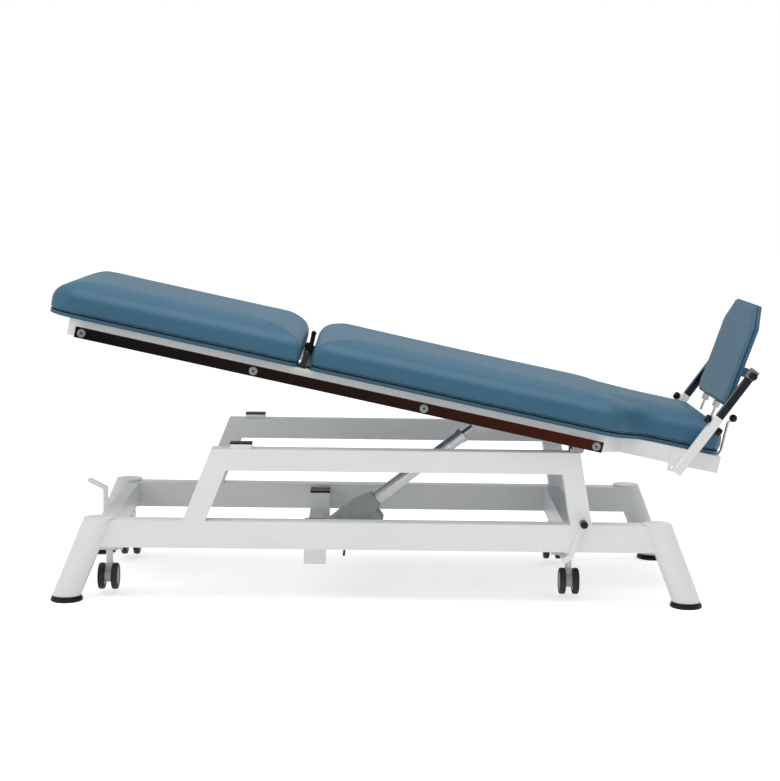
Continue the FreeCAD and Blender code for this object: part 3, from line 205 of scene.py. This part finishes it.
MATS = {
    "white_paint": powder_coat(),
    "leatherette": leatherette(),
    # The rail's lacquer carries a painted reflection, near black at the head end to red-brown at the foot
    # end
    "dark_rail": lacquer_with_painted_reflection(),
    "dark_bar": moulded("dark_bar", (0.002, 0.003, 0.007), (0.004, 0.006, 0.011), 0.24,
                        grain=300.0, depth=0.03, specular=0.2),
    "black_paint": moulded("black_paint", (0.005, 0.006, 0.009), (0.009, 0.010, 0.015), 0.38, specular=0.25),
    "steel": brushed("zinc_steel", (0.15, 0.15, 0.16), (0.22, 0.22, 0.23), 0.34),
    "grey_metal": moulded("grey_zinc", (0.20, 0.20, 0.20), (0.32, 0.32, 0.31), 0.42,
                          grain=500.0, depth=0.2, metallic=0.6),
    "aluminium": brushed("drawn_aluminium", (0.50, 0.51, 0.50), (0.62, 0.62, 0.61), 0.36),
    "chrome": brushed("chrome", (0.36, 0.36, 0.37), (0.44, 0.44, 0.45), 0.26, depth=0.02),
    "actuator_grey": moulded("actuator_grey", (0.30, 0.33, 0.30), (0.38, 0.41, 0.38), 0.48),
    "grey_plastic": moulded("grey_plastic", (0.30, 0.31, 0.31), (0.36, 0.37, 0.37), 0.45),
    "black_plastic": moulded("black_plastic", (0.004, 0.004, 0.005), (0.006, 0.006, 0.007), 0.30,
                             specular=0.22),
    "rubber": moulded("black_rubber", (0.003, 0.003, 0.007), (0.006, 0.006, 0.011), 0.42,
                      grain=700.0, depth=0.1, specular=0.25),
    "cable": moulded("cable_sheath", (0.012, 0.012, 0.012), (0.020, 0.020, 0.020), 0.5),
    "cream_plastic": moulded("cream_nylon", (0.50, 0.49, 0.44), (0.60, 0.59, 0.53), 0.35),
    # Piping, darker than the leatherette: painted shade of the groove where a cover meets its board
    "piping": moulded("piping", (0.006, 0.010, 0.020), (0.012, 0.018, 0.032), 0.5, grain=700.0, depth=0.2),
    "wheel_disc": moulded("wheel_disc", (0.40, 0.39, 0.36), (0.50, 0.49, 0.45), 0.42),
    "castor_tyre": moulded("tyre_rubber", (0.020, 0.020, 0.023), (0.035, 0.035, 0.038), 0.6,
                           grain=600.0, depth=0.2, specular=0.3),
}

slots = {s["node"]: s["material_slot"] for s in frame["record"]["subparts"]}
for name, obj in NODES.items():
    obj.data.materials.clear()
    obj.data.materials.append(MATS[slots[name]])


# Floor, world, lamps and camera
FLOOR_SIZE = 40
FLOOR_COLOR = (0.86, 0.86, 0.86, 1)
FLOOR_GLOW = 0.55
# The world's light, from the camera's side to the far side, by how far a direction points along Y
WORLD_NEAR_Y, WORLD_FAR_Y = -1.0, 0.1
WORLD_NEAR, WORLD_FAR = 0.38, 0.66
# Each lamp's place, aim, size in metres and power in watts
LAMPS = {
    "key": ((0.2, -0.6, 3.4), (0, 0, 0.5), (3.6, 2.4), 72),
    "left": ((-3.2, -1.6, 1.8), (0, 0, 0.5), (1.8, 1.8), 14),
    "front": ((0.2, -4.7, 1.0), (0, 0, 0.42), (3.2, 1.3), 20),
}
CAMERA_PLACE = (-0.10449, -4.819, 1.1925)
CAMERA_YAW, CAMERA_PITCH, CAMERA_ROLL = 0.011, 0.1306, 0.0139
LENS, SENSOR = 76.65, 36


def floor():
    """A pale floor. Its glow shows to the camera and in reflections, and lights nothing."""
    bpy.ops.mesh.primitive_plane_add(size=FLOOR_SIZE)
    plane = bpy.context.object
    plane.name = "floor"
    mat = bpy.data.materials.new("floor")
    mat.use_nodes = True
    nodes, link = mat.node_tree.nodes, mat.node_tree.links.new
    nodes.clear()
    rays = nodes.new("ShaderNodeLightPath")
    seen = rays.outputs["Is Camera Ray"]
    for kind in ("Is Glossy Ray", "Is Transmission Ray"):
        either = nodes.new("ShaderNodeMath")
        either.operation = "MAXIMUM"
        link(seen, either.inputs[0])
        link(rays.outputs[kind], either.inputs[1])
        seen = either.outputs[0]
    strength = nodes.new("ShaderNodeMath")
    strength.operation = "MULTIPLY"
    strength.inputs[1].default_value = FLOOR_GLOW
    link(seen, strength.inputs[0])
    glow = nodes.new("ShaderNodeEmission")
    link(strength.outputs[0], glow.inputs["Strength"])
    base = nodes.new("ShaderNodeBsdfDiffuse")
    base.inputs["Color"].default_value = FLOOR_COLOR
    total = nodes.new("ShaderNodeAddShader")
    link(base.outputs[0], total.inputs[0])
    link(glow.outputs[0], total.inputs[1])
    link(total.outputs[0], nodes.new("ShaderNodeOutputMaterial").inputs["Surface"])
    plane.data.materials.append(mat)


def world():
    """Soft light from all round, a little stronger from the far side. The camera sees plain white."""
    made = bpy.data.worlds.new("studio")
    bpy.context.scene.world = made
    made.use_nodes = True
    nodes, link = made.node_tree.nodes, made.node_tree.links.new
    nodes.clear()
    split = nodes.new("ShaderNodeSeparateXYZ")
    link(nodes.new("ShaderNodeTexCoord").outputs["Generated"], split.inputs[0])
    level = nodes.new("ShaderNodeMapRange")
    for socket, value in (("From Min", WORLD_NEAR_Y), ("From Max", WORLD_FAR_Y),
                          ("To Min", WORLD_NEAR), ("To Max", WORLD_FAR)):
        level.inputs[socket].default_value = value
    link(split.outputs["Y"], level.inputs["Value"])
    # The first number of the mix is for other rays, the second for the camera's
    pick = nodes.new("ShaderNodeMix")
    link(nodes.new("ShaderNodeLightPath").outputs["Is Camera Ray"], pick.inputs[0])
    link(level.outputs[0], pick.inputs[2])
    pick.inputs[3].default_value = 1.0
    glow = nodes.new("ShaderNodeBackground")
    glow.inputs["Color"].default_value = (1, 1, 1, 1)
    link(pick.outputs[0], glow.inputs["Strength"])
    link(glow.outputs[0], nodes.new("ShaderNodeOutputWorld").inputs["Surface"])


def add_object(name, data):
    obj = bpy.data.objects.new(name, data)
    bpy.context.scene.collection.objects.link(obj)
    return obj


def lamp(name, place, target, size, power):
    data = bpy.data.lights.new(name, "AREA")
    data.shape = "RECTANGLE"
    data.size, data.size_y = size
    data.energy = power
    obj = add_object(name, data)
    obj.location = place
    obj.rotation_mode = "QUATERNION"
    obj.rotation_quaternion = (Vector(target) - Vector(place)).to_track_quat("-Z", "Y")


def camera():
    """The photo's camera, a little above the table and looking slightly down along +Y."""
    level = Vector((math.sin(CAMERA_YAW), math.cos(CAMERA_YAW), 0))
    right = Vector((math.cos(CAMERA_YAW), -math.sin(CAMERA_YAW), 0))
    up = Vector((0, 0, 1))
    ahead = level * math.cos(CAMERA_PITCH) - up * math.sin(CAMERA_PITCH)
    above = level * math.sin(CAMERA_PITCH) + up * math.cos(CAMERA_PITCH)
    side = right * math.cos(CAMERA_ROLL) + above * math.sin(CAMERA_ROLL)
    top = above * math.cos(CAMERA_ROLL) - right * math.sin(CAMERA_ROLL)
    data = bpy.data.cameras.new("camera")
    data.sensor_fit = "HORIZONTAL"
    data.sensor_width = SENSOR
    data.lens = LENS
    obj = add_object("camera", data)
    turn = Matrix((side, top, -ahead)).transposed().to_4x4()
    obj.matrix_world = Matrix.Translation(CAMERA_PLACE) @ turn
    bpy.context.scene.camera = obj


floor()
world()
for name, values in LAMPS.items():
    lamp(name, *values)
camera()
bpy.context.scene.view_settings.view_transform = "Standard"


# Small builders
BOX_SEGMENTS = 3
CORD_SIDES = 8


def finish_mesh(obj, mat, body, sharp=35):
    """Gives a piece its material, its body and smooth faces, with edges sharper than so many degrees."""
    obj.data.materials.clear()
    obj.data.materials.append(mat)
    for face in obj.data.polygons:
        face.use_smooth = True
    obj.data.set_sharp_from_angle(angle=math.radians(sharp))
    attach(obj, body)


def mesh_object(name, verts, faces):
    mesh = bpy.data.meshes.new(name)
    mesh.from_pydata([tuple(v) for v in verts], [], faces)
    mesh.update()
    return add_object(name, mesh)


def lathe(name, profile, place, steps, closed=False):
    """Turns a profile of (radius, height) round local Z. A radius of zero closes an end."""
    verts, rows = [], []
    for radius, height in profile:
        if radius < 1e-9:
            rows.append([len(verts)])
            verts.append(Vector((0, 0, height)))
        else:
            rows.append(list(range(len(verts), len(verts) + steps)))
            for k in range(steps):
                a = 2 * math.pi * k / steps
                verts.append(Vector((radius * math.cos(a), radius * math.sin(a), height)))
    faces = []
    pairs = list(zip(rows, rows[1:]))
    if closed:
        pairs.append((rows[-1], rows[0]))
    for low, high in pairs:
        for k in range(steps):
            n = (k + 1) % steps
            ring = [low[k % len(low)], low[n % len(low)], high[n % len(high)], high[k % len(high)]]
            ring = [v for i, v in enumerate(ring) if v not in ring[:i]]
            if len(ring) > 2:
                faces.append(ring)
    return mesh_object(name, [place @ v for v in verts], faces)


def aimed(start, toward):
    """A matrix at start whose local Z points along toward."""
    turn = Vector(toward).to_track_quat("Z", "Y").to_matrix().to_4x4()
    return Matrix.Translation(start) @ turn


def soft_box(name, lo, hi, bevel, place=Matrix.Identity(4)):
    """A block with rounded edges."""
    made = bmesh.new()
    bmesh.ops.create_cube(made, size=1)
    size = Vector(hi) - Vector(lo)
    middle = (Vector(hi) + Vector(lo)) / 2
    for v in made.verts:
        v.co = Vector(a * b for a, b in zip(v.co, size)) + middle
    bmesh.ops.bevel(made, geom=made.edges[:], offset=bevel, segments=BOX_SEGMENTS, affect="EDGES",
                    profile=0.5)
    made.transform(place)
    mesh = bpy.data.meshes.new(name)
    made.to_mesh(mesh)
    made.free()
    return add_object(name, mesh)


def cord_along(name, points, radius):
    """A thin round cord of mesh along a closed loop of points."""
    count = len(points)
    verts, faces = [], []
    for i, p in enumerate(points):
        run = (points[(i + 1) % count] - points[i - 1]).normalized()
        side = run.cross(TABLE_UP).normalized()
        top = side.cross(run).normalized()
        for k in range(CORD_SIDES):
            a = 2 * math.pi * k / CORD_SIDES
            verts.append(p + side * (radius * math.cos(a)) + top * (radius * math.sin(a)))
    for i in range(count):
        here, ahead = i * CORD_SIDES, (i + 1) % count * CORD_SIDES
        for k in range(CORD_SIDES):
            n = (k + 1) % CORD_SIDES
            faces.append([here + k, here + n, ahead + n, ahead + k])
    return mesh_object(name, verts, faces)


# Castor wheels: rubber tyre and pale disc on each side of the fork. Both profiles are in shares of the
# wheel's radius and width, from its inner face outwards.
TYRE = [(0.66, 0.04), (0.70, 0.0), (0.88, 0.0), (0.94, 0.04), (0.975, 0.14), (0.995, 0.32), (1.0, 0.5),
        (0.995, 0.68), (0.975, 0.86), (0.94, 0.96), (0.88, 1.0), (0.72, 1.0), (0.69, 0.97), (0.66, 0.9)]
DISC = [(0.0, 0.06), (0.5, 0.06), (0.66, 0.03), (0.675, 0.5), (0.675, 0.93), (0.655, 0.95), (0.63, 0.90),
        (0.60, 0.84), (0.36, 0.80), (0.31, 0.86), (0.29, 0.95), (0.25, 0.97), (0.22, 0.90), (0.12, 0.88),
        (0.0, 0.88)]
FORK_HALF = 0.010
WHEEL_STEPS = 64


def castor_wheels(name, body):
    lo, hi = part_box("castor_wheels_" + name)
    middle = (lo + hi) / 2
    radius = (hi.z - lo.z) / 2
    width = (hi.x - lo.x) / 2 - FORK_HALF
    for side, end in ((-1, "head"), (1, "foot")):
        place = aimed(middle + Vector((side * FORK_HALF, 0, 0)), (side, 0, 0))
        tyre = lathe(f"castor_tyre_{name}_{end}", [(r * radius, h * width) for r, h in TYRE], place,
                     WHEEL_STEPS, closed=True)
        finish_mesh(tyre, MATS["castor_tyre"], body, 50)
        if end == "foot":
            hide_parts("castor_wheels_" + name)
        disc = lathe(f"castor_disc_{name}_{end}", [(r * radius, h * width) for r, h in DISC], place,
                     WHEEL_STEPS)
        finish_mesh(disc, MATS["wheel_disc"], body, 50)


for name in ("head_left", "head_right", "foot_left", "foot_right"):
    castor_wheels(name, "wheels_" + name)


# Upholstery: a copy of each soft solid is blown up a little as cloth, and then gets its piping, whose dark
# colour is painted shade of the groove at its board
CLOTH_FRAMES = 20
CLOTH_SETTINGS = {
    "quality": 4,
    "mass": 0.3,
    "tension_stiffness": 12,
    "compression_stiffness": 12,
    "shear_stiffness": 4,
    "bending_stiffness": 1.5,
    "use_pressure": True,
}
# Distance between the points of a cord, and how often they are evened out
CORD_STEP = 0.006
CORD_PASSES = 3


def shrunk_copy(node, shrink):
    """The mesh of a CAD solid in the part's frame, a little smaller about its middle."""
    source = NODES[node]
    mesh = source.data.copy()
    mesh.name = node + "_cover"
    mesh.transform(source.matrix_world)
    lo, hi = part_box(node)
    middle = (Vector(lo) + Vector(hi)) / 2
    mesh.transform(Matrix.Translation(middle) @ Matrix.Diagonal((*shrink, 1)) @ Matrix.Translation(-middle))
    return mesh


def baked(obj):
    """The mesh of obj with its modifiers applied."""
    graph = bpy.context.evaluated_depsgraph_get()
    return bpy.data.meshes.new_from_object(obj.evaluated_get(graph), depsgraph=graph)


def coords(mesh):
    flat = np.empty(len(mesh.vertices) * 3)
    mesh.vertices.foreach_get("co", flat)
    return flat.reshape(-1, 3)


def inflate(obj, start, pressure, cap):
    """Blows the cover up as cloth. No point moves further than cap."""
    cloth = obj.modifiers.new("cloth", "CLOTH")
    for key, value in CLOTH_SETTINGS.items():
        setattr(cloth.settings, key, value)
    cloth.settings.uniform_pressure_force = pressure
    cloth.settings.vertex_group_mass = "stapled"
    cloth.settings.effector_weights.gravity = 0
    cloth.point_cache.frame_start = 1
    cloth.point_cache.frame_end = CLOTH_FRAMES
    for f in range(1, CLOTH_FRAMES + 1):
        bpy.context.scene.frame_set(f)
    moved = coords(baked(obj)) - start
    size = np.maximum(np.linalg.norm(moved, axis=1), 1e-9)
    moved *= (np.minimum(size, cap) / size)[:, None]
    obj.modifiers.clear()
    obj.data.vertices.foreach_set("co", (start + moved).ravel())
    obj.data.update()
    bpy.context.scene.frame_set(1)


def upholster(name, node, body, up, shrink, voxel, stapled, cap, pressure=4.0):
    """A soft cover grown from a CAD solid. It is held over the height stapled above its lowest point along
    up, where it meets its board, and grows by up to cap elsewhere."""
    obj = add_object(name, shrunk_copy(node, shrink))
    remesh = obj.modifiers.new("remesh", "REMESH")
    remesh.mode = "VOXEL"
    remesh.voxel_size = voxel
    fine = baked(obj)
    obj.modifiers.clear()
    obj.data = fine
    start = coords(fine)
    height = start @ np.array(up)
    held = np.nonzero(height < height.min() + stapled)[0]
    obj.vertex_groups.new(name="stapled").add([int(i) for i in held], 1.0, "REPLACE")
    inflate(obj, start, pressure, cap)
    smooth = obj.modifiers.new("smooth", "SMOOTH")
    smooth.factor = 0.5
    smooth.iterations = 3
    even = obj.modifiers.new("subdivide", "SUBSURF")
    even.levels = 1
    even.render_levels = 1
    obj.data = baked(obj)
    obj.modifiers.clear()
    finish_mesh(obj, MATS["leatherette"], body, 180)
    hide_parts(node)
    return obj


def section_loop(mesh, point, normal):
    """The longest loop that a plane cuts out of mesh, as evenly spaced points."""
    cut = bmesh.new()
    cut.from_mesh(mesh)
    got = bmesh.ops.bisect_plane(cut, geom=cut.verts[:] + cut.edges[:] + cut.faces[:],
                                 plane_co=point, plane_no=normal)["geom_cut"]
    links = {}
    for edge in got:
        if isinstance(edge, bmesh.types.BMEdge):
            a, b = edge.verts
            links.setdefault(a, []).append(b)
            links.setdefault(b, []).append(a)
    best, seen = [], set()
    for first in links:
        if first in seen:
            continue
        chain, here = [first], first
        seen.add(first)
        while True:
            ahead = [v for v in links[here] if v not in seen]
            if not ahead:
                break
            here = ahead[0]
            seen.add(here)
            chain.append(here)
        if len(chain) > len(best):
            best = chain
    points = [v.co.copy() for v in best]
    cut.free()
    ring = points + [points[0]]
    runs = [0.0]
    for a, b in zip(ring, ring[1:]):
        runs.append(runs[-1] + (b - a).length)
    count = int(runs[-1] / CORD_STEP)
    out, k = [], 0
    for i in range(count):
        at = runs[-1] * i / count
        while runs[k + 1] < at:
            k += 1
        part = (at - runs[k]) / max(runs[k + 1] - runs[k], 1e-9)
        out.append(ring[k].lerp(ring[k + 1], part))
    for _ in range(CORD_PASSES):
        out = [(out[i - 1] + out[i] * 2 + out[(i + 1) % count]) / 4 for i in range(count)]
    return out


def piping(name, cover, body, heights, radius, up):
    """Thin cords sewn round a cover, at heights above its lowest point along up. They are piping, coloured
    darker than the cover as painted shade of the groove where the cover meets its board.
    """
    up = Vector(up).normalized()
    low = min(v.co @ up for v in cover.data.vertices)
    for i, height in enumerate(heights):
        cord = cord_along(f"{name}_{i + 1}", section_loop(cover.data, up * (low + height), up), radius)
        finish_mesh(cord, MATS["piping"], body, 180)


leg_cover = upholster("leg_cushion_cover", "leg_cushion", "table", TABLE_UP, (0.9975, 0.995, 0.996),
                      voxel=0.0090, stapled=0.010, cap=0.0045)
head_cover = upholster("head_cushion_cover", "head_cushion", "backrest", TABLE_UP, (0.996, 0.995, 0.996),
                       voxel=0.0085, stapled=0.010, cap=0.0045)
piping("leg_piping", leg_cover, "table", (0.0030, 0.0080), 0.0008, TABLE_UP)
piping("head_piping", head_cover, "backrest", (0.0030, 0.0080), 0.0008, TABLE_UP)
board_cover = upholster("footboard_cover", "footboard_pad", "footboard", BOARD_UP, (0.998, 0.996, 0.996),
                        voxel=0.0038, stapled=0.0022, cap=0.0020, pressure=2.0)
piping("footboard_piping", board_cover, "footboard", (0.0016,), 0.0009, BOARD_UP)


# Dark plates inside the side tubes at the backrest's hinge, and a dark strip on the hinge tube, as boxes in
# the table's own frame.
# The plates stand in the gap of the cushions. The painted shades stay below the boards and darken the side
# tubes' inner faces deep in that gap.
PLATE_Y = (0.2685, 0.2699)
PLATES = {
    "hinge_plate_": ((-0.815, 0.031), (-0.768, 0.058)),
    # Painted shade: dark boxes over the side tubes' inner faces deep in the gap
    "hinge_shade_": ((-0.836, 0.031), (-0.8145, 0.0515)),
}
STRIP = ((-0.8025, -0.2675, 0.0344), (-0.7735, 0.2675, 0.0357))
PLATE_BEVEL = 0.0004


def dark_plate(name, lo, hi):
    finish_mesh(soft_box(name, lo, hi, PLATE_BEVEL, TABLE), MATS["black_paint"], "table")


for side, word in SIDES:
    y0, y1 = sorted(side * y for y in PLATE_Y)
    for name, ((u0, w0), (u1, w1)) in PLATES.items():
        dark_plate(name + word, (u0, y0, w0), (u1, y1, w1))
dark_plate("hinge_strip", *STRIP)


# Black caps on the two posts of the actuator's cross member. A cap stands out past its post on three sides,
# and stays just inside the post's outer face, beside the base rail.
CAP_OVER = 0.0006
CAP_INSET = 0.0004
CAP_BEVEL = 0.0012
CAP_DEPTH, CAP_RISE = 0.0050, 0.0016
POST_TOP = 0.218
POST_SIZE = 0.060
post_lo, post_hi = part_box("actuator_cross_member")
for word, y0, y1 in (("left", post_lo.y + CAP_INSET, post_lo.y + POST_SIZE + CAP_OVER),
                     ("right", post_hi.y - POST_SIZE - CAP_OVER, post_hi.y - CAP_INSET)):
    cap = soft_box("post_cap_" + word, (post_lo.x - CAP_OVER, y0, POST_TOP - CAP_DEPTH),
                   (post_lo.x + POST_SIZE + CAP_OVER, y1, POST_TOP + CAP_RISE), CAP_BEVEL)
    finish_mesh(cap, MATS["black_plastic"], "base")


# The stops on the side frames: painted blocks with a rubber pad on top
STOP_WIDTH = 0.036
PAD_DEPTH, PAD_RISE = 0.0045, 0.00015
NODES["stop_buffers"].data.materials[0] = MATS["white_paint"]
stop_lo, stop_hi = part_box("stop_buffers")
for side, word in SIDES:
    y0 = stop_hi.y - STOP_WIDTH if side > 0 else stop_lo.y
    pad = soft_box("stop_pad_" + word, (stop_lo.x - CAP_OVER, y0 - CAP_OVER, stop_hi.z - PAD_DEPTH),
                   (stop_hi.x + CAP_OVER, y0 + STOP_WIDTH + CAP_OVER, stop_hi.z + PAD_RISE), CAP_BEVEL)
    finish_mesh(pad, MATS["rubber"], "base")


# Grip sleeve on the foot pedal, with a hollow end
GRIP_OVER = 0.0008
GRIP_PROFILE = [(0.0, 0.0007), (0.0058, 0.0007), (0.0066, 0.0), (0.0092, 0.0), (0.0103, 0.0014),
                (0.0103, 0.0285), (0.0096, 0.0300)]
PEDAL_RADIUS = 0.0095
grip_lo, grip_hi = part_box("foot_pedal")
grip_end = Vector((grip_hi.x - PEDAL_RADIUS, grip_lo.y - GRIP_OVER, grip_hi.z - PEDAL_RADIUS))
grip = lathe("foot_pedal_grip", GRIP_PROFILE, aimed(grip_end, (0, 1, 0)), 40)
finish_mesh(grip, MATS["black_plastic"], "foot_pedal")


# Ball knob of the hand lever, as a half circle of points turned round
BALL_RADIUS = 0.0115
BALL_ARCS = 16
BALL_PLACE = Vector((0.445, -0.110, 0.156))
ball_profile = [(0.0, -BALL_RADIUS)]
for i in range(1, BALL_ARCS):
    angle = math.pi * i / BALL_ARCS
    ball_profile.append((BALL_RADIUS * math.sin(angle), -BALL_RADIUS * math.cos(angle)))
ball_profile.append((0.0, BALL_RADIUS))
ball = lathe("hand_lever_ball", ball_profile, aimed(TABLE @ BALL_PLACE, TABLE_UP), 32)
finish_mesh(ball, MATS["black_plastic"], "hand_lever", 80)


# Hexagon sockets in the accessory rails' screws, drawn as flat dark hexagons: painted shade of the recesses.
# Places in millimetres of the table's own frame
SCREWS_U = (-1393, -918, -442, 42)
SCREW_Y, SCREW_W = 337.1, 21
SOCKET_RADIUS = 0.0034
for u in SCREWS_U:
    for side, word in SIDES:
        place = aimed(TABLE @ (Vector((u, side * SCREW_Y, SCREW_W)) / 1000), (0, side, 0))
        # Painted shade: a flat dark hexagon in place of the socket's recess
        socket = lathe(f"screw_socket_shade_{word}_{-u}", [(0.0, 0.0), (SOCKET_RADIUS, 0.0)], place, 6)
        finish_mesh(socket, MATS["black_plastic"], "table")
